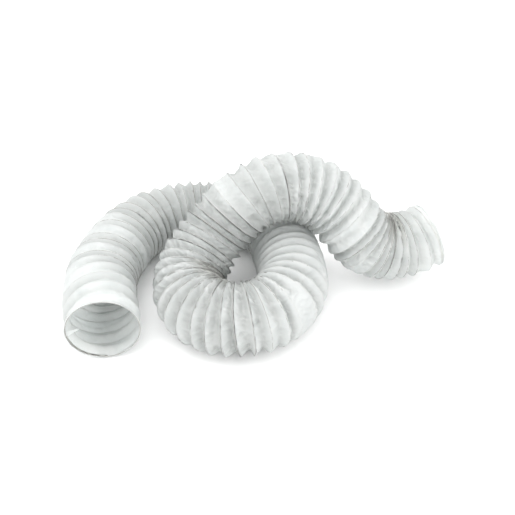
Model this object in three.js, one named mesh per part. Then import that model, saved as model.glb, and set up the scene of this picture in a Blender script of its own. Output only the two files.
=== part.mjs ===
// A flexible air duct: two plies of thin PVC film with a spring-steel wire helix laid up between them.
// It lies on the ground in one loop, with its front end under and its rear end over the crossing.
// Millimetres, +Z up. The origin is on the ground, under the middle of the duct's bounding box.
//
// The duct is divided along its length into short stretches. Each stretch is three solids that nest:
// an outer ply, an inner ply and a whole number of turns of wire between them.
// At each mouth the film is folded back over the last turn, which makes a thick hem.
import * as THREE from 'three';
import { NURBSCurve } from 'three/addons/curves/NURBSCurve.js';

// ---- driving dimensions ----
const OUTER_RADIUS = 52;      // over the ridges, for a nominal 100 mm duct
const PLY_THICKNESS = 0.6;    // one ply, thicker than the real film so that it is a solid
const NEST_GAP = 0.6;         // between a ply and the wire
const WIRE_DEPTH = 1.6;       // radial size of the wire's section
const WIRE_WIDTH = 1.6;       // size of the wire's section along the duct
const HEM_THICKNESS = 2.6;    // radial size of the folded hem at a mouth
const HEM_LENGTH = 4;         // size of the hem along the duct
const CUT_GAP = 0.3;          // between one stretch and the next
const SIDES = 12;             // facets round the duct, and steps of wire in one turn
const BOTTOM = -Math.PI / 2;  // angle of the duct's lowest line, where each length of wire begins

// The middle of the duct, from the front mouth to the rear mouth: control points of a cubic B-spline.
const ROUTE = [
  [-205, -165, 52], [-210, -135, 52], [-235, -70, 52], [-220, 10, 52], [-195, 85, 52], [-120, 130, 52],
  [-30, 125, 52], [30, 75, 52], [50, -15, 52], [55, -95, 52], [0, -150, 52], [-80, -140, 52],
  [-110, -70, 60], [-60, -5, 105], [-15, 5, 155], [50, 30, 165], [120, 25, 135], [160, 0, 65],
  [215, 15, 55], [265, 30, 70],
];
const TO_ORIGIN = new THREE.Vector3(-3.4, 8.8, 0);  // brings the middle of the bounding box over the origin

// Where each stretch ends, measured along the middle of the duct, with its turns of wire and, where it
// bends with its neighbours, its steps of film. The front and rear arms move, and the middle lies still.
const FRONT_ARM = [
  { end: 54, turns: 2, steps: 1 },
  { end: 96, turns: 2, steps: 1 },
  { end: 150, turns: 3, steps: 1 },
  { end: 205, turns: 3, steps: 1 },
  { end: 245, turns: 2, steps: 1 },
  { end: 287, turns: 2, steps: 1 },
  { end: 335, turns: 3, steps: 1 },
];
const MIDDLE = [
  { end: 470, turns: 8 },
  { end: 615, turns: 8 },
  { end: 745, turns: 7 },
  { end: 875, turns: 10 },
  { end: 995, turns: 6 },
  { end: 1065, turns: 4 },
];
const REAR_ARM = [
  { end: 1110, turns: 3, steps: 2 },
  { end: 1155, turns: 3, steps: 2 },
  { end: 1200, turns: 3, steps: 3 },
  { end: 1245, turns: 4, steps: 3 },
  { end: 1290, turns: 4, steps: 3 },
  { end: 1338.5, turns: 4, steps: 2 },
];
const MIDDLE_PLIES = 16;      // stretches of outer ply in the middle
const STEPS_PER_PLY = 3;

// ---- the middle line ----
function clampedKnots(pointCount, degree) {
  const spans = pointCount - degree;
  const knots = new Array(degree).fill(0);
  for (let i = 0; i <= spans; i += 1) knots.push(i / spans);
  return knots.concat(new Array(degree).fill(1));
}

const DEGREE = 3;
const controls = ROUTE.map(([x, y, z]) => new THREE.Vector4(x, y, z, 1));
const route = new NURBSCurve(DEGREE, clampedKnots(ROUTE.length, DEGREE), controls);
route.arcLengthDivisions = 2000;
const ROUTE_LENGTH = route.getLength();

// The centre of the duct at a station, with its left and top directions. The top leans as the duct climbs.
function stationFrame(station) {
  const u = THREE.MathUtils.clamp(station / ROUTE_LENGTH, 0, 1);
  const centre = route.getPointAt(u).add(TO_ORIGIN);
  const along = route.getTangentAt(u);
  const left = new THREE.Vector3(0, 0, 1).cross(along).normalize();
  const top = along.clone().cross(left);
  return { station, centre, left, top };
}

// Frames at both ends of a stretch and at equal steps between.
function stretchFrames(start, end, steps) {
  const frames = [];
  for (let i = 0; i <= steps; i += 1) {
    frames.push(stationFrame(THREE.MathUtils.lerp(start, end, i / steps)));
  }
  return frames;
}

function ringPoint(frame, radius, angle) {
  return frame.centre.clone()
    .addScaledVector(frame.left, radius * Math.cos(angle))
    .addScaledVector(frame.top, radius * Math.sin(angle));
}

// A point on the flat-sided tube of a given radius, found between the two frames that a station lies in.
function tubePoint(frames, station, radius, angle) {
  const last = frames.length - 2;
  let i = 0;
  while (i < last && station > frames[i + 1].station) i += 1;
  const share = (station - frames[i].station) / (frames[i + 1].station - frames[i].station);
  return ringPoint(frames[i], radius, angle).lerp(ringPoint(frames[i + 1], radius, angle), share);
}

// ---- solids ----
function solid(points, triangles) {
  const geometry = new THREE.BufferGeometry();
  geometry.setAttribute('position', new THREE.Float32BufferAttribute(points.flatMap((p) => p.toArray()), 3));
  geometry.setIndex(triangles);
  geometry.computeVertexNormals();
  return geometry;
}

// A tube wall with an outer skin, an inner skin and a flat annular rim at each end.
function wallGeometry(frames, outerRadius, thickness) {
  const innerRadius = outerRadius - thickness;
  const points = [];
  for (const frame of frames) {
    for (const radius of [outerRadius, innerRadius]) {
      for (let j = 0; j < SIDES; j += 1) {
        points.push(ringPoint(frame, radius, BOTTOM + (2 * Math.PI * j) / SIDES));
      }
    }
  }
  const outer = (i, j) => 2 * SIDES * i + (j % SIDES);
  const inner = (i, j) => outer(i, j) + SIDES;
  const triangles = [];
  const quad = (a, b, c, d) => triangles.push(a, b, c, a, c, d);
  const lastRing = frames.length - 1;
  for (let j = 0; j < SIDES; j += 1) {
    for (let i = 0; i < lastRing; i += 1) {
      quad(outer(i, j), outer(i, j + 1), outer(i + 1, j + 1), outer(i + 1, j));
      quad(inner(i, j), inner(i + 1, j), inner(i + 1, j + 1), inner(i, j + 1));
    }
    quad(outer(0, j + 1), outer(0, j), inner(0, j), inner(0, j + 1));
    quad(outer(lastRing, j), outer(lastRing, j + 1), inner(lastRing, j + 1), inner(lastRing, j));
  }
  return solid(points, triangles);
}

// The station of every step of wire from start on. Each stretch has its own spacing of turns.
function wireStations(start, stretches) {
  const stations = [start];
  let from = start;
  for (const { end, turns } of stretches) {
    const steps = turns * SIDES;
    for (let k = 1; k <= steps; k += 1) stations.push(THREE.MathUtils.lerp(from, end, k / steps));
    from = end;
  }
  return stations;
}

// A length of wire: a three-sided section swept along a helix that keeps to the facets.
function wireGeometry(frames, stations, outerRadius) {
  const innerRadius = outerRadius - WIRE_DEPTH;
  const half = WIRE_WIDTH / 2;
  const first = frames[0].station + half;
  const last = frames[frames.length - 1].station - half;
  const steps = stations.length - 1;
  const points = [];
  stations.forEach((unclamped, k) => {
    const station = THREE.MathUtils.clamp(unclamped, first, last);
    const angle = BOTTOM + (2 * Math.PI * k) / SIDES;
    points.push(tubePoint(frames, station, outerRadius, angle));
    points.push(tubePoint(frames, station + half, innerRadius, angle));
    points.push(tubePoint(frames, station - half, innerRadius, angle));
  });
  const triangles = [0, 1, 2];
  for (let k = 0; k < steps; k += 1) {
    for (let c = 0; c < 3; c += 1) {
      const a = 3 * k + c;
      const b = 3 * k + ((c + 1) % 3);
      triangles.push(a, a + 3, b + 3, a, b + 3, b);
    }
  }
  const end = 3 * steps;
  triangles.push(end, end + 2, end + 1);
  return solid(points, triangles);
}

// ---- materials ----
const outerFilm = new THREE.MeshStandardMaterial({ color: 0xe6e9e8, roughness: 0.4, metalness: 0 });
const innerFilm = new THREE.MeshStandardMaterial({ color: 0xd9dad5, roughness: 0.45, metalness: 0 });
const springSteel = new THREE.MeshStandardMaterial({ color: 0x8d8f90, roughness: 0.35, metalness: 1 });

// ---- the assembly ----
const group = new THREE.Group();

function addPiece(name, geometry, material) {
  const mesh = new THREE.Mesh(geometry, material);
  mesh.name = name;
  group.add(mesh);
}

function addHem(name, start, end) {
  const frames = stretchFrames(start, end, 1);
  addPiece(name, wallGeometry(frames, OUTER_RADIUS, HEM_THICKNESS), outerFilm);
}

const WIRE_RADIUS = OUTER_RADIUS - PLY_THICKNESS - NEST_GAP;
const INNER_PLY_RADIUS = WIRE_RADIUS - WIRE_DEPTH - NEST_GAP;

function addOuterPly(name, start, end, steps) {
  const frames = stretchFrames(start + CUT_GAP / 2, end - CUT_GAP / 2, steps);
  addPiece(name, wallGeometry(frames, OUTER_RADIUS, PLY_THICKNESS), outerFilm);
}

// The wire and the inner ply of one or more stretches, as one length of each.
function addInside(label, start, stretches, steps) {
  const { end } = stretches[stretches.length - 1];
  const frames = stretchFrames(start + CUT_GAP / 2, end - CUT_GAP / 2, steps);
  const stations = wireStations(start, stretches);
  addPiece(`spring_wire_${label}`, wireGeometry(frames, stations, WIRE_RADIUS), springSteel);
  addPiece(`inner_ply_${label}`, wallGeometry(frames, INNER_PLY_RADIUS, PLY_THICKNESS), innerFilm);
}

const twoDigits = (number) => String(number).padStart(2, '0');
let plyCount = 0;

// An arm is a chain of short stretches, each free to move against the next.
function addArm(start, stretches) {
  let from = start;
  for (const stretch of stretches) {
    plyCount += 1;
    addOuterPly(`outer_ply_${twoDigits(plyCount)}`, from, stretch.end, stretch.steps);
    addInside(twoDigits(plyCount), from, [stretch], stretch.steps);
    from = stretch.end;
  }
  return from;
}

function addMiddle(start, stretches) {
  const { end } = stretches[stretches.length - 1];
  for (let i = 0; i < MIDDLE_PLIES; i += 1) {
    const from = THREE.MathUtils.lerp(start, end, i / MIDDLE_PLIES);
    const to = THREE.MathUtils.lerp(start, end, (i + 1) / MIDDLE_PLIES);
    plyCount += 1;
    addOuterPly(`outer_ply_${twoDigits(plyCount)}`, from, to, STEPS_PER_PLY);
  }
  addInside('middle', start, stretches, MIDDLE_PLIES * STEPS_PER_PLY);
  return end;
}

addHem('front_hem', 0, HEM_LENGTH - CUT_GAP / 2);
const middleStart = addArm(HEM_LENGTH, FRONT_ARM);
const middleEnd = addMiddle(middleStart, MIDDLE);
const rearEnd = addArm(middleEnd, REAR_ARM);
addHem('rear_hem', rearEnd + CUT_GAP / 2, ROUTE_LENGTH);

export default group;
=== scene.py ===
"""The looks of a flexible air duct: thin PVC film in two plies over a spring-wire helix.

Every place along the duct is a station, in metres along its middle line from the front mouth. Every
place along the wire is a turn, counted from the front mouth, so that one turn later the wire has gone
once round. The film between one turn of wire and the next is a strip that follows the helix. Its creases
and pleats are worked out along that strip.
"""

import math
import bpy
import mathutils
import numpy as np
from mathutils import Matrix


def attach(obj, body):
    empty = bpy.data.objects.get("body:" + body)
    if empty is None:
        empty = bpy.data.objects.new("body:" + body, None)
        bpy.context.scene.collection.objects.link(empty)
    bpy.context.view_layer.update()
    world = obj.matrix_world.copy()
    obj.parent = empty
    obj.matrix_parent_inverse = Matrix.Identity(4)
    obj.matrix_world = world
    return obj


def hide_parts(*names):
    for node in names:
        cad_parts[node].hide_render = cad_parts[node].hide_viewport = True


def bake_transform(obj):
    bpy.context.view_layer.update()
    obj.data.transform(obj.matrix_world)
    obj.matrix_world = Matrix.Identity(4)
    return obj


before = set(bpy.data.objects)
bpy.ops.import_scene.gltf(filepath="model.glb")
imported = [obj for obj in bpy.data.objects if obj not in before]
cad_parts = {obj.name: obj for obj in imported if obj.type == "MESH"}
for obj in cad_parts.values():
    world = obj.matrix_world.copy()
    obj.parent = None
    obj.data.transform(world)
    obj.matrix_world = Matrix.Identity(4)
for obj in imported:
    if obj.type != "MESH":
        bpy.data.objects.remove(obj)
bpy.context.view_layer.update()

# ---- the duct's middle line, as in the CAD model ----
MM = 0.001
ROUTE = [
    (-205, -165, 52), (-210, -135, 52), (-235, -70, 52), (-220, 10, 52), (-195, 85, 52), (-120, 130, 52),
    (-30, 125, 52), (30, 75, 52), (50, -15, 52), (55, -95, 52), (0, -150, 52), (-80, -140, 52),
    (-110, -70, 60), (-60, -5, 105), (-15, 5, 155), (50, 30, 165), (120, 25, 135), (160, 0, 65),
    (215, 15, 55), (265, 30, 70),
]
TO_ORIGIN = (-3.4, 8.8, 0)
RADIUS_IN_MM = 52
DUCT_RADIUS = RADIUS_IN_MM * MM
BOTTOM = -math.pi / 2
UP = np.array([0.0, 0.0, 1.0])

# The planes where one body ends and the next begins, in millimetres along the middle line.
BODIES = ["front_7", "front_6", "front_5", "front_4", "front_3", "front_2", "front_1", "middle",
          "rear_1", "rear_2", "rear_3", "rear_4", "rear_5", "rear_6"]
JOINT_STATIONS = [54, 96, 150, 205, 245, 287, 335, 1065, 1110, 1155, 1200, 1245, 1290]

# ---- how the film lies: (station, value) pairs in millimetres, with straight lines between ----
# The spacing of the turns along the middle line.
PITCH = [(0, 27), (50, 24), (110, 14), (200, 17), (300, 18), (340, 15), (540, 16), (650, 18), (730, 15),
         (770, 12.5), (860, 13), (900, 15), (950, 16), (1060, 16), (1110, 16), (1170, 16), (1200, 22),
         (1225, 10), (1280, 11), (1300, 18), (1343, 20)]
# How deep the film sags between turns, on the outside of a bend.
DEPTH = [(0, 0.4), (60, 0.5), (130, 0.9), (200, 2.5), (260, 6), (450, 5.5), (550, 3), (650, 3), (700, 5),
         (740, 8), (780, 10.5), (860, 10), (900, 6.5), (1100, 6.5), (1200, 6), (1280, 6), (1343, 3)]
# How creased the film is between its ridges.
CRUMPLE = [(0, 0.5), (30, 0.3), (130, 0.3), (200, 0.5), (340, 0.7), (450, 0.8), (600, 0.4), (700, 1),
           (760, 1.3), (830, 0.9), (920, 0.9), (1000, 1.3), (1100, 1.2), (1220, 1), (1343, 0.5)]
# From 0 for thin pointed ridges with wide sags to 1 for round ridges with narrow valleys.
ROUNDNESS = [(0, 0.6), (200, 0.2), (450, 0), (550, 0.9), (700, 0.9), (750, 0.35), (820, 0.3),
             (860, 0.7), (910, 0.4), (1000, 0.1), (1060, 0.15), (1110, 0.7), (1200, 0.7),
             (1240, 0.3), (1343, 0.5)]
# Where the deepest fold is, as a share of the way from one turn to the next.
FOLD = [(0, 0.5), (700, 0.5), (770, 0.35), (870, 0.35), (920, 0.36), (1080, 0.38), (1130, 0.5),
        (1343, 0.5)]


def clamped_spline(points, samples):
    """Points along a clamped uniform cubic B-spline."""
    degree = 3
    controls = np.array(points, float)
    inner = np.linspace(0, 1, len(controls) - degree + 1)
    knots = np.concatenate([np.zeros(degree), inner, np.ones(degree)])
    u = np.linspace(0, 1 - 1e-9, samples)[:, None]
    basis = ((knots[:-1] <= u) & (u < knots[1:])).astype(float)
    for p in range(1, degree + 1):
        count = len(knots) - p - 1
        rise = knots[p:p + count] - knots[:count]
        fall = knots[p + 1:p + 1 + count] - knots[1:1 + count]
        up = np.where(rise > 0, (u - knots[:count]) / np.where(rise > 0, rise, 1), 0)
        down = np.where(fall > 0, (knots[p + 1:p + 1 + count] - u) / np.where(fall > 0, fall, 1), 0)
        basis = up * basis[:, :count] + down * basis[:, 1:count + 1]
    return basis @ controls


LINE = (clamped_spline(ROUTE, 6000) + np.array(TO_ORIGIN)) * MM
LINE_STATIONS = np.concatenate([[0], np.cumsum(np.linalg.norm(np.diff(LINE, axis=0), axis=1))])
LENGTH = LINE_STATIONS[-1]
TANGENTS = np.gradient(LINE, LINE_STATIONS, axis=0)
TANGENTS /= np.linalg.norm(TANGENTS, axis=1, keepdims=True)


def along(values, stations):
    """Rows of values, which belong to the middle line's own points, at other stations."""
    flat = np.ravel(stations)
    out = np.stack([np.interp(flat, LINE_STATIONS, values[:, k]) for k in range(3)], axis=-1)
    return out.reshape(np.shape(stations) + (3,))


def unit(vectors):
    return vectors / np.linalg.norm(vectors, axis=-1, keepdims=True)


def middle_frame(stations):
    """The centre of a ring of the duct, and the ring's left and top directions."""
    centre = along(LINE, stations)
    forward = unit(along(TANGENTS, stations))
    left = unit(np.cross(UP, forward))
    return centre, left, np.cross(forward, left)


def around(stations, angles, radii):
    """Points at an angle and a distance from the middle line. Angle 0 is left, and then comes the top."""
    centre, left, top = middle_frame(stations)
    outward = np.cos(angles)[..., None] * left + np.sin(angles)[..., None] * top
    return centre + np.asarray(radii)[..., None] * outward


def profile(pairs, stations):
    """A value in millimetres from a list of pairs, at stations in metres."""
    places, values = zip(*pairs)
    return np.interp(np.asarray(stations) / MM, places, values)


# ---- the turns of wire ----
pitch_along = profile(PITCH, LINE_STATIONS) * MM
bend = np.linalg.norm(np.gradient(TANGENTS, LINE_STATIONS, axis=0), axis=1)
# The widest that one turn of film spans, on the outside of a bend.
widest_along = pitch_along * (1 + DUCT_RADIUS * bend)
turn_density = 1 / pitch_along
turns_so_far = np.concatenate(
    [[0], np.cumsum((turn_density[1:] + turn_density[:-1]) / 2 * np.diff(LINE_STATIONS))])
OPEN_TURNS = round(turns_so_far[-1])
turns_so_far *= OPEN_TURNS / turns_so_far[-1]
# The first and the last turn are closed rings, flat at the mouths.
LAST_TURN = OPEN_TURNS + 2


# ---- seeded noise ----
def lattice(seed, *shape):
    return np.random.RandomState(seed).uniform(-1, 1, shape)


def ease(t):
    return t * t * (3 - 2 * t)


def noise_line(x, seed):
    """Smooth noise along a line, from -1 to 1, with about one swing for each unit of x."""
    table = lattice(seed, 1024)
    i = np.floor(x).astype(int)
    t = ease(x - i)
    return table[i % 1024] * (1 - t) + table[(i + 1) % 1024] * t


def noise_sheet(x, y, seed):
    """Smooth noise over a sheet, from -1 to 1."""
    size = 256
    table = lattice(seed, size, size)
    i, j = np.floor(x).astype(int), np.floor(y).astype(int)
    s, t = ease(x - i), ease(y - j)
    low = table[i % size, j % size] * (1 - s) + table[(i + 1) % size, j % size] * s
    high = table[i % size, (j + 1) % size] * (1 - s) + table[(i + 1) % size, (j + 1) % size] * s
    return low * (1 - t) + high * t


def creased(x, y, seed):
    """A sheet with sharp creases and rounded swells between them, about 0 on average."""
    return np.abs(noise_sheet(x, y, seed)) - 0.35


# ---- the shape of the film ----
TURN_LENGTH_IN_MM = 2 * math.pi * RADIUS_IN_MM
STRIP_WIDTH_IN_MM = 22
CREASE_HEIGHT = 2.2 * MM
DEEPEST_SAG = 11 * MM
BEAD_HEIGHT = 0.6 * MM
BEAD_WIDTH = 0.9 * MM
LOWEST_FILM = 0.2 * MM


def wire_station(turn):
    """Where the wire is along the duct. The turns are a little uneven."""
    even = np.interp(turn - 1, turns_so_far, LINE_STATIONS)
    spacing = np.interp(even, LINE_STATIONS, pitch_along)
    free = np.clip((turn - 1) / 2, 0, 1) * np.clip((LAST_TURN - 1 - turn) / 2, 0, 1)
    sway = 0.13 * noise_line(turn * 1.7, 11) + 0.10 * noise_line(turn * 3.3, 12)
    return even + spacing * sway * free


def wire_angle(turn):
    return BOTTOM + 2 * math.pi * turn


def wire_radius(turn, spacing):
    """How far out the film stands on the wire. Turns that are pinched together push each other in."""
    station = wire_station(turn)
    mouth = np.minimum(station, LENGTH - station) / MM
    base = RADIUS_IN_MM - 2.0 * np.exp(-mouth / 14)
    loose = 0.7 * noise_line(turn * 2.3, 21) + 0.4 * noise_line(turn * 5.1, 22)
    pinch = np.clip(1 - spacing / (8 * MM), 0, 1)
    push = pinch * (1.2 + 1.8 * noise_line(turn * 1.3, 23))
    return (base - 0.4 + loose - push) * MM


def film(turn, share):
    """The outer skin of the film, a share of the way from one turn of wire to the next.

    Returns the points, how deep in a pleat each one is, from 0 to 1, and the gap that the film spans."""
    here, there = wire_station(turn), wire_station(turn + 1)
    angle = wire_angle(turn)
    low = around(here, angle, np.full(np.shape(here), DUCT_RADIUS))
    high = around(there, angle, np.full(np.shape(here), DUCT_RADIUS))
    spacing = np.linalg.norm(high - low, axis=-1)
    station = here + share * (there - here)

    # How far the film folds in, because it is wider than the gap that it spans.
    unevenness = 1 + 0.22 * noise_line(turn * 1.37, 31) + 0.12 * noise_line(turn * 4.3, 34)
    depth_outside = profile(DEPTH, station) * unevenness * MM
    widest = np.interp(station, LINE_STATIONS, widest_along)
    spare_squared = widest ** 2 + (2 * depth_outside) ** 2 - spacing ** 2
    narrow = np.clip(spacing / (5 * MM), 0, 1)
    deepest = np.minimum(0.45 * spacing + 2 * MM, DEEPEST_SAG)
    # At the mouths the film closes on a flat ring and is drawn tight.
    drawn = (np.clip(turn, 0, 1) * np.clip(LAST_TURN - 1 - turn, 0, 1)) ** 6
    depth = np.minimum(np.sqrt(np.clip(spare_squared, 0, None)) / 2, deepest) * ease(narrow) * drawn
    # Each pleat's fold wanders from one wire towards the other.
    fold = np.clip(profile(FOLD, station) + 0.12 * noise_line(turn * 1.9, 32), 0.2, 0.8)
    bent = share ** (math.log(0.5) / np.log(fold))
    from_fold = np.abs(2 * bent - 1)
    pointed = 1 - from_fold ** 1.9
    rounded = np.exp(-(from_fold / 0.42) ** 2) - math.exp(-(1 / 0.42) ** 2)
    roundness = profile(ROUNDNESS, station)
    sag = pointed * (1 - roundness) + rounded * roundness

    across = share * STRIP_WIDTH_IN_MM
    round_it = turn * TURN_LENGTH_IN_MM
    slant = round_it + 0.55 * noise_line(turn * 1.1, 41) * across
    sheet = (1.2 * creased(slant / 14, across / 30, 42)
             - 1.2 * creased(slant / 9 + across / 22, across / 14, 43)
             + 1.0 * creased(slant / 7 - across / 13, across / 9, 44)
             + 0.3 * noise_sheet(slant / 4, across / 5, 45))
    between_ridges = np.sin(math.pi * share) ** 0.6
    crumple = profile(CRUMPLE, station) * CREASE_HEIGHT * sheet * between_ridges * narrow

    edge = wire_radius(turn, spacing) * (1 - share) + wire_radius(turn + 1, spacing) * share
    # The wire shows through the film as a narrow bead along each ridge.
    beside = np.minimum(share, 1 - share) * spacing
    beside_bead = BEAD_HEIGHT * (1 - np.exp(-(beside / BEAD_WIDTH) ** 2)) * drawn
    radius = np.minimum(edge - beside_bead - depth * sag + crumple, DUCT_RADIUS + 0.3 * MM)
    points = around(station, angle, radius)
    # Where it rests on the ground the film lies flat.
    points[..., 2] = np.maximum(points[..., 2], LOWEST_FILM)
    # How deep in a pleat, from 0 to 1; the film material darkens its colour with this as painted shade.
    deep = np.clip(depth * sag / (7 * MM), 0, 1)
    return points, deep, spacing


# ---- meshes ----
ROWS = np.array([0, 0.03, 0.08, 0.16, 0.26, 0.38, 0.5, 0.62, 0.74, 0.84, 0.92, 0.97])
COLUMNS = 176
FILM = 0.25 * MM
WIRE = 1.0 * MM


def strip_rows(first, last, spare):
    """The turn and the share of each row from one turn to another, with spare rows past each end."""
    count = (last - first) * len(ROWS)
    index = np.arange(-spare, count + spare + 1)
    return first + index // len(ROWS), ROWS[index % len(ROWS)]


def new_mesh(name, points, faces, normals=None, values=None):
    mesh = bpy.data.meshes.new(name)
    mesh.from_pydata(points.tolist(), [], faces.tolist())
    mesh.polygons.foreach_set("use_smooth", np.ones(len(mesh.polygons), bool))
    for key, data in (values or {}).items():
        layer = mesh.attributes.new(key, "FLOAT", "POINT")
        layer.data.foreach_set("value", data.astype(np.float32))
    if normals is not None:
        mesh.normals_split_custom_set_from_vertices(normals.tolist())
    obj = bpy.data.objects.new(name, mesh)
    bpy.context.scene.collection.objects.link(obj)
    return obj


def film_piece(name, first, last):
    """The film from one turn of wire to a later one: an outer and an inner skin, joined at their rims.

    The inner skin keeps its distance along the normal, so the two skins may cross in a sharp fold."""
    per_turn = len(ROWS)
    count = (last - first) * per_turn
    # One more turn of rows, because the strip meets itself a turn later, and one spare row all round.
    base, share = strip_rows(first, last + 1, 1)
    columns = np.arange(-1, COLUMNS + 1) / COLUMNS
    turn = np.clip(base[:, None] + columns[None, :], 0, LAST_TURN - 1e-6)
    points, deep, spacing = film(turn, share[:, None] + 0 * turn)
    down = np.gradient(points, axis=0)
    over = np.gradient(points, axis=1)
    normal = np.cross(over, down)
    size = np.linalg.norm(normal, axis=-1, keepdims=True)
    outward = points - along(LINE, wire_station(turn))
    fallback = outward / np.linalg.norm(outward, axis=-1, keepdims=True)
    normal = np.where(size > 1e-12, normal / np.maximum(size, 1e-12), fallback)
    normal *= np.where((normal * fallback).sum(-1, keepdims=True) < 0, -1, 1)
    points, normal = points[1:-1, 1:], normal[1:-1, 1:]
    deep, spacing, share = deep[1:-1, 1:], spacing[1:-1, 1:], share[1:-1]
    beside = np.minimum(share, 1 - share)[:, None] * spacing
    over_wire = np.exp(-(beside / (0.8 * MM)) ** 2)
    inner = points - (FILM + (FILM + WIRE) * over_wire)[..., None] * normal

    rows = count + per_turn + 1
    ids = np.arange(rows * (COLUMNS + 1)).reshape(rows, COLUMNS + 1)
    # The last column is the first one, a turn later.
    ids[:rows - per_turn, COLUMNS] = ids[per_turn:, 0]
    a, b = ids[:count, :-1], ids[:count, 1:]
    c, d = ids[1:count + 1, 1:], ids[1:count + 1, :-1]
    outside = np.stack([a, b, c, d], -1).reshape(-1, 4)
    start_loop = np.concatenate([ids[0, :], ids[per_turn - 1:0:-1, 0]])
    end_loop = np.concatenate([ids[count, :], ids[count + per_turn - 1:count:-1, 0]])
    total = rows * (COLUMNS + 1)
    inside = outside[:, ::-1] + total
    faces = [outside, inside]
    for loop, flip in ((start_loop, True), (end_loop, False)):
        after = np.roll(loop, -1)
        rim = np.stack([loop, after, after + total, loop + total], -1)
        faces.append(rim if flip else rim[:, ::-1])
    faces = np.concatenate(faces)
    flat = np.concatenate([points.reshape(-1, 3), inner.reshape(-1, 3)])
    shading = np.concatenate([normal.reshape(-1, 3), -normal.reshape(-1, 3)])
    # The fold attribute paints shade into the pleats in the film material.
    fold = np.concatenate([deep.ravel(), deep.ravel()])
    # The over_wire attribute lightens the ridges: stress-whitened PVC and a painted highlight.
    wire = np.concatenate([over_wire.ravel(), over_wire.ravel()])
    pinch = np.clip(1 - spacing / (9 * MM), 0, 1).ravel()
    used, faces = np.unique(faces, return_inverse=True)
    faces = faces.reshape(-1, 4)
    return new_mesh(name, flat[used], faces, shading[used],
                    {"fold": fold[used], "over_wire": wire[used], "pinch": np.tile(pinch, 2)[used]})


def tube_along(name, points, radius, sides=8):
    """A closed round tube along a line of points."""
    direction = np.gradient(points, axis=0)
    direction /= np.linalg.norm(direction, axis=1, keepdims=True)
    side = np.cross(direction, UP + 0.3 * direction[:, [1, 2, 0]])
    side /= np.linalg.norm(side, axis=1, keepdims=True)
    for k in range(1, len(side)):
        side[k] = side[k - 1] - direction[k] * (side[k - 1] @ direction[k])
        side[k] /= np.linalg.norm(side[k])
    other = np.cross(direction, side)
    angles = 2 * math.pi * np.arange(sides) / sides
    cosine, sine = np.cos(angles)[None, :, None], np.sin(angles)[None, :, None]
    ring = cosine * side[:, None, :] + sine * other[:, None, :]
    skin = points[:, None, :] + radius * ring
    ids = np.arange(len(points) * sides).reshape(len(points), sides)
    right = np.roll(ids, -1, axis=1)
    walls = np.stack([ids[:-1], right[:-1], right[1:], ids[1:]], -1).reshape(-1, 4)
    ends = [list(ids[0, ::-1]), list(ids[-1])]
    mesh = bpy.data.meshes.new(name)
    mesh.from_pydata(skin.reshape(-1, 3).tolist(), [], walls.tolist() + ends)
    mesh.polygons.foreach_set("use_smooth", np.ones(len(mesh.polygons), bool))
    obj = bpy.data.objects.new(name, mesh)
    bpy.context.scene.collection.objects.link(obj)
    return obj


def wire_piece(name, first, last):
    """The wire from one turn to a later one, along the film's ridges. Steep film may cut across it."""
    steps = 72
    turn = np.linspace(first, last, (last - first) * steps + 1)
    turn = np.clip(turn, 0, LAST_TURN - 1e-6)
    here = wire_station(turn)
    angle = wire_angle(turn)
    low = around(here, angle, np.full(len(turn), DUCT_RADIUS))
    high = around(wire_station(turn + 1), angle, np.full(len(turn), DUCT_RADIUS))
    radius = wire_radius(turn, np.linalg.norm(high - low, axis=-1)) - FILM - WIRE / 2
    return tube_along(name, around(here, angle, radius), WIRE / 2)


def ring_of_quads(ids):
    """Faces of a grid of points whose rows and columns both close on themselves."""
    down, over = np.roll(ids, -1, axis=0), np.roll(ids, -1, axis=1)
    return np.stack([ids, over, np.roll(down, -1, axis=1), down], -1).reshape(-1, 4)


def hem_piece(name, station, inward):
    """The hem at a mouth: film folded back over the last ring of wire, as a soft uneven roll."""
    angles = 2 * math.pi * np.arange(160) / 160
    round_section = 2 * math.pi * np.arange(12) / 12
    angle, section = np.meshgrid(angles, round_section, indexing="ij")
    uneven = noise_line(angle * 16 / (2 * math.pi), 51) * np.sin(angle / 2)
    torn = noise_line(angle * 42 / (2 * math.pi), 52) * np.sin(angle / 2)
    ragged = (0.8 * uneven + 0.5 * torn) * (np.cos(section) > 0)
    in_from_mouth = (2.1 + 2.0 * np.cos(section) + ragged) * MM
    radius = (49.4 + (1.0 + 0.35 * torn) * np.sin(section) + 0.5 * uneven) * MM
    # The roll stands a little proud of the film's own edge.
    proud = -inward * 0.7 * MM * along(TANGENTS, np.array(station))
    points = around(station + inward * in_from_mouth, angle, radius) + proud
    faces = ring_of_quads(np.arange(angle.size).reshape(angle.shape))
    return new_mesh(name, points.reshape(-1, 3), faces if inward > 0 else faces[:, ::-1])


def flap_piece(name, root_start, root_end, tip, seed):
    """A torn flap of film: a thin creased sheet that narrows from its root to its tip."""
    rows, columns = 14, 10
    out, side = np.meshgrid(np.linspace(0, 1, rows), np.linspace(0, 1, columns), indexing="ij")
    root = root_start + side[..., None] * (root_end - root_start)
    end = tip + 0.2 * (side[..., None] - 0.5) * (root_end - root_start)
    points = root + out[..., None] * (end - root)
    across = unit(np.cross(root_end - root_start, tip - root_start))
    wave = 1.6 * noise_sheet(out * 3.1 + 7, side * 2.3 + 5, seed) + 0.8 * np.sin(math.pi * side)
    points = points + (out * wave)[..., None] * across * MM
    both = np.concatenate([points.reshape(-1, 3), (points - 0.3 * MM * across).reshape(-1, 3)])
    ids = np.arange(rows * columns).reshape(rows, columns)
    front = np.stack([ids[:-1, :-1], ids[:-1, 1:], ids[1:, 1:], ids[1:, :-1]], -1).reshape(-1, 4)
    edge = np.concatenate([ids[0, :-1], ids[:-1, -1], ids[-1, :0:-1], ids[:0:-1, 0]])
    after = np.roll(edge, -1)
    rim = np.stack([after, edge, edge + ids.size, after + ids.size], -1)
    return new_mesh(name, both, np.concatenate([front, front[:, ::-1] + ids.size, rim]))


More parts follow.
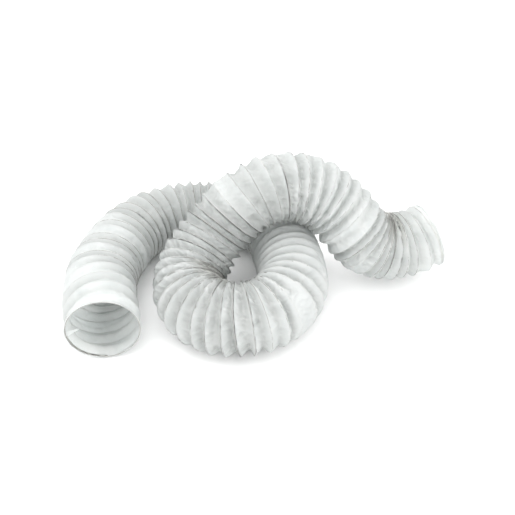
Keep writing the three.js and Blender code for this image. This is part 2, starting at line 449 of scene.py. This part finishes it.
# ---- the camera ----
def look_at(obj, eye, target):
    forward = np.array(target) - np.array(eye)
    forward /= np.linalg.norm(forward)
    right = np.cross(forward, UP)
    right /= np.linalg.norm(right)
    up = np.cross(right, forward)
    turn = np.eye(4)
    turn[:3, 0], turn[:3, 1], turn[:3, 2], turn[:3, 3] = right, up, -forward, eye
    obj.matrix_world = mathutils.Matrix(turn.tolist())


def add_camera():
    elevation = math.radians(37)
    distance = 0.97
    target = np.array([TO_ORIGIN[0], TO_ORIGIN[1], 48.5]) * MM
    eye = target + distance * np.array([0, -math.cos(elevation), math.sin(elevation)])
    data = bpy.data.cameras.new("camera")
    data.lens = 44.2
    data.sensor_width = 36
    camera = bpy.data.objects.new("camera", data)
    bpy.context.scene.collection.objects.link(camera)
    look_at(camera, eye, target)
    bpy.context.scene.camera = camera


# ---- materials ----
def node(tree, kind, **settings):
    made = tree.nodes.new(kind)
    for key, value in settings.items():
        setattr(made, key, value)
    return made


def film_material():
    material = bpy.data.materials.new("pvc_film")
    material.use_nodes = True
    tree = material.node_tree
    shader = tree.nodes["Principled BSDF"]
    out = tree.nodes["Material Output"]
    place = node(tree, "ShaderNodeTexCoord").outputs["Object"]
    mottle = node(tree, "ShaderNodeTexNoise")
    mottle.inputs["Scale"].default_value = 38
    mottle.inputs["Detail"].default_value = 4
    tree.links.new(place, mottle.inputs["Vector"])
    tone = node(tree, "ShaderNodeValToRGB")
    tone.color_ramp.elements[0].position = 0.3
    tone.color_ramp.elements[0].color = (0.80, 0.82, 0.815, 1)
    tone.color_ramp.elements[1].position = 0.75
    tone.color_ramp.elements[1].color = (0.88, 0.89, 0.885, 1)
    tree.links.new(mottle.outputs["Fac"], tone.inputs["Fac"])
    # Darker and yellower where the turns of wire are pinched together.
    pinch = node(tree, "ShaderNodeAttribute", attribute_name="pinch")
    pinched_tint = node(tree, "ShaderNodeMix", data_type="RGBA")
    pinched_tint.inputs["B"].default_value = (0.52, 0.51, 0.43, 1)
    share = node(tree, "ShaderNodeMath", operation="MULTIPLY")
    share.inputs[1].default_value = 0.55
    tree.links.new(pinch.outputs["Fac"], share.inputs[0])
    tree.links.new(share.outputs[0], pinched_tint.inputs["Factor"])
    # Painted shade: the colour greys towards (0.55, 0.56, 0.54) in deep pleats, where shade falls.
    deep = node(tree, "ShaderNodeAttribute", attribute_name="fold")
    shade = node(tree, "ShaderNodeMath", operation="MULTIPLY")
    shade.inputs[1].default_value = 0.36
    tree.links.new(deep.outputs["Fac"], shade.inputs[0])
    painted_fold_shade = node(tree, "ShaderNodeMix", data_type="RGBA")
    painted_fold_shade.inputs["B"].default_value = (0.55, 0.56, 0.54, 1)
    tree.links.new(shade.outputs[0], painted_fold_shade.inputs["Factor"])
    tree.links.new(tone.outputs["Color"], painted_fold_shade.inputs["A"])
    tree.links.new(painted_fold_shade.outputs["Result"], pinched_tint.inputs["A"])
    # Lighter along the ridges over the wire: partly stress-whitened PVC, partly a painted highlight on the
    # crest.
    wire = node(tree, "ShaderNodeAttribute", attribute_name="over_wire")
    faint = node(tree, "ShaderNodeMath", operation="MULTIPLY")
    faint.inputs[1].default_value = 0.4
    tree.links.new(wire.outputs["Fac"], faint.inputs[0])
    whitened_and_highlit_ridge = node(tree, "ShaderNodeMix", data_type="RGBA")
    whitened_and_highlit_ridge.inputs["B"].default_value = (0.95, 0.95, 0.94, 1)
    tree.links.new(faint.outputs[0], whitened_and_highlit_ridge.inputs["Factor"])
    tree.links.new(pinched_tint.outputs["Result"], whitened_and_highlit_ridge.inputs["A"])
    tree.links.new(whitened_and_highlit_ridge.outputs["Result"], shader.inputs["Base Color"])
    grain = node(tree, "ShaderNodeTexNoise")
    grain.inputs["Scale"].default_value = 260
    grain.inputs["Detail"].default_value = 5
    tree.links.new(place, grain.inputs["Vector"])
    gloss = node(tree, "ShaderNodeMapRange")
    gloss.inputs["To Min"].default_value = 0.34
    gloss.inputs["To Max"].default_value = 0.55
    tree.links.new(grain.outputs["Fac"], gloss.inputs["Value"])
    tree.links.new(gloss.outputs["Result"], shader.inputs["Roughness"])
    bump = node(tree, "ShaderNodeBump")
    bump.inputs["Strength"].default_value = 0.35
    bump.inputs["Distance"].default_value = 0.0006
    tree.links.new(grain.outputs["Fac"], bump.inputs["Height"])
    tree.links.new(bump.outputs["Normal"], shader.inputs["Normal"])
    through = node(tree, "ShaderNodeBsdfTranslucent")
    tree.links.new(whitened_and_highlit_ridge.outputs["Result"], through.inputs["Color"])
    tree.links.new(bump.outputs["Normal"], through.inputs["Normal"])
    mix = node(tree, "ShaderNodeMixShader")
    mix.inputs["Fac"].default_value = 0.58
    tree.links.new(shader.outputs[0], mix.inputs[1])
    tree.links.new(through.outputs[0], mix.inputs[2])
    tree.links.new(mix.outputs[0], out.inputs["Surface"])
    return material


def wire_material():
    material = bpy.data.materials.new("spring_wire")
    material.use_nodes = True
    tree = material.node_tree
    shader = tree.nodes["Principled BSDF"]
    shader.inputs["Metallic"].default_value = 1.0
    place = node(tree, "ShaderNodeTexCoord").outputs["Object"]
    drawn = node(tree, "ShaderNodeTexNoise")
    drawn.inputs["Scale"].default_value = 400
    tree.links.new(place, drawn.inputs["Vector"])
    tone = node(tree, "ShaderNodeValToRGB")
    tone.color_ramp.elements[0].color = (0.30, 0.29, 0.27, 1)
    tone.color_ramp.elements[1].color = (0.52, 0.51, 0.49, 1)
    tree.links.new(drawn.outputs["Fac"], tone.inputs["Fac"])
    tree.links.new(tone.outputs["Color"], shader.inputs["Base Color"])
    gloss = node(tree, "ShaderNodeMapRange")
    gloss.inputs["To Min"].default_value = 0.25
    gloss.inputs["To Max"].default_value = 0.5
    tree.links.new(drawn.outputs["Fac"], gloss.inputs["Value"])
    tree.links.new(gloss.outputs["Result"], shader.inputs["Roughness"])
    return material


def floor_material():
    material = bpy.data.materials.new("floor")
    material.use_nodes = True
    shader = material.node_tree.nodes["Principled BSDF"]
    shader.inputs["Base Color"].default_value = (0.96, 0.96, 0.96, 1)
    shader.inputs["Roughness"].default_value = 0.9
    return material


# ---- the pieces ----
SEAM_INTO_MIDDLE = 36 * MM
MOUTH_LENGTH = 20 * MM


def seam_turns():
    """Whole turns at which the film is divided: one in each arm's body, and one at each end of the middle.

    The film keeps to its body for the whole turn after a seam, because a seam goes once round the duct."""
    seams = []
    ends = [0] + JOINT_STATIONS + [LENGTH / MM]
    for k, body in enumerate(BODIES[1:-1], start=1):
        low, high = ends[k] * MM, ends[k + 1] * MM
        if body == "middle":
            seams.append(nearest_turn(low + SEAM_INTO_MIDDLE))
            seams.append(nearest_turn(high - SEAM_INTO_MIDDLE))
        else:
            seams.append(nearest_turn((low + high) / 2))
    return seams


def nearest_turn(station):
    """The whole turn whose wire, over the next turn, lies evenly about a station."""
    return round(1 + float(np.interp(station, LINE_STATIONS, turns_so_far)) - 0.5)


def seam_span(turn):
    """The first and the last station of the wire over the turn that starts at a seam."""
    stations = wire_station(np.linspace(turn, turn + 1, 60))
    return stations.min(), stations.max()


def add_mouths():
    """A hem at each mouth, with the torn flap of film that hangs from it."""
    front_hem = hem_piece("hem_front", 0, 1)
    rear_hem = hem_piece("hem_rear", LENGTH, -1)
    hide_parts("front_hem")
    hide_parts("rear_hem")
    in_from_mouth, out_from_middle = np.array([2, 3, 4]) * MM, np.array([49, 49, 30]) * MM
    low, high, tip = around(in_from_mouth, np.radians([-7, 3, 9]), out_from_middle)
    front_flap = flap_piece("flap_front", low, high, tip, 61)
    in_from_mouth, out_from_middle = np.array([3, 3, 1]) * MM, np.array([50, 50, 56]) * MM
    low, high, tip = around(LENGTH - in_from_mouth, np.radians([-125, -85, -100]), out_from_middle)
    rear_flap = flap_piece("flap_rear", low, high, tip + 7 * MM * TANGENTS[-1], 62)
    for body, pieces in (("front_7", (front_hem, front_flap)), ("rear_6", (rear_hem, rear_flap))):
        for piece in pieces:
            piece.data.materials.append(film_look)
            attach(piece, body)


add_camera()
film_look, wire_look = film_material(), wire_material()
seams = [0] + seam_turns() + [LAST_TURN - 1]
numbers = [f"{k:02d}" for k in range(1, 8)] + ["middle"] + [f"{k:02d}" for k in range(24, 30)]
for k, number in enumerate(numbers):
    first, last = seams[k], seams[k + 1]
    skin = film_piece(f"film_{number}", first, last)
    wire = wire_piece(f"wire_{number}", first, last)
    skin.data.materials.append(film_look)
    wire.data.materials.append(wire_look)
    if number == "middle":
        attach(skin, "middle")
        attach(wire, "middle")
        plies = [f"outer_ply_{n:02d}" for n in range(8, 24)]
        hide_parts("inner_ply_middle", *plies)
        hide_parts("spring_wire_middle")
        seam_span(first)[0]
        seam_span(last)[1]
        continue
    start = seam_span(first)[1] if first else MOUTH_LENGTH
    end = seam_span(last)[0] if last < LAST_TURN - 1 else LENGTH - MOUTH_LENGTH
    for piece in (skin, wire):
        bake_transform(piece)
    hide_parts(f"outer_ply_{number}", f"inner_ply_{number}")
    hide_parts(f"spring_wire_{number}")

add_mouths()


# ---- floor and light ----
def add_floor():
    mesh = bpy.data.meshes.new("floor")
    half = 4.0
    corners = [(-half, -half, 0), (half, -half, 0), (half, half, 0), (-half, half, 0)]
    mesh.from_pydata(corners, [], [(0, 1, 2, 3)])
    floor = bpy.data.objects.new("floor", mesh)
    bpy.context.scene.collection.objects.link(floor)
    mesh.materials.append(floor_material())


def add_light(name, place, target, size, power):
    data = bpy.data.lights.new(name, "AREA")
    data.shape = "SQUARE"
    data.size = size
    data.energy = power
    light = bpy.data.objects.new(name, data)
    bpy.context.scene.collection.objects.link(light)
    look_at(light, place, target)


def add_world():
    world = bpy.data.worlds.new("studio")
    world.use_nodes = True
    world.node_tree.nodes["Background"].inputs["Color"].default_value = (1, 1, 1, 1)
    world.node_tree.nodes["Background"].inputs["Strength"].default_value = 1.56
    bpy.context.scene.world = world


add_floor()
add_light("key", (-0.45, -0.15, 1.6), (0, 0, 0.05), 1.2, 8)
add_light("fill", (0.2, -1.2, 0.9), (0, 0, 0.05), 1.2, 4)
add_world()
bpy.context.scene.view_settings.view_transform = "Standard"
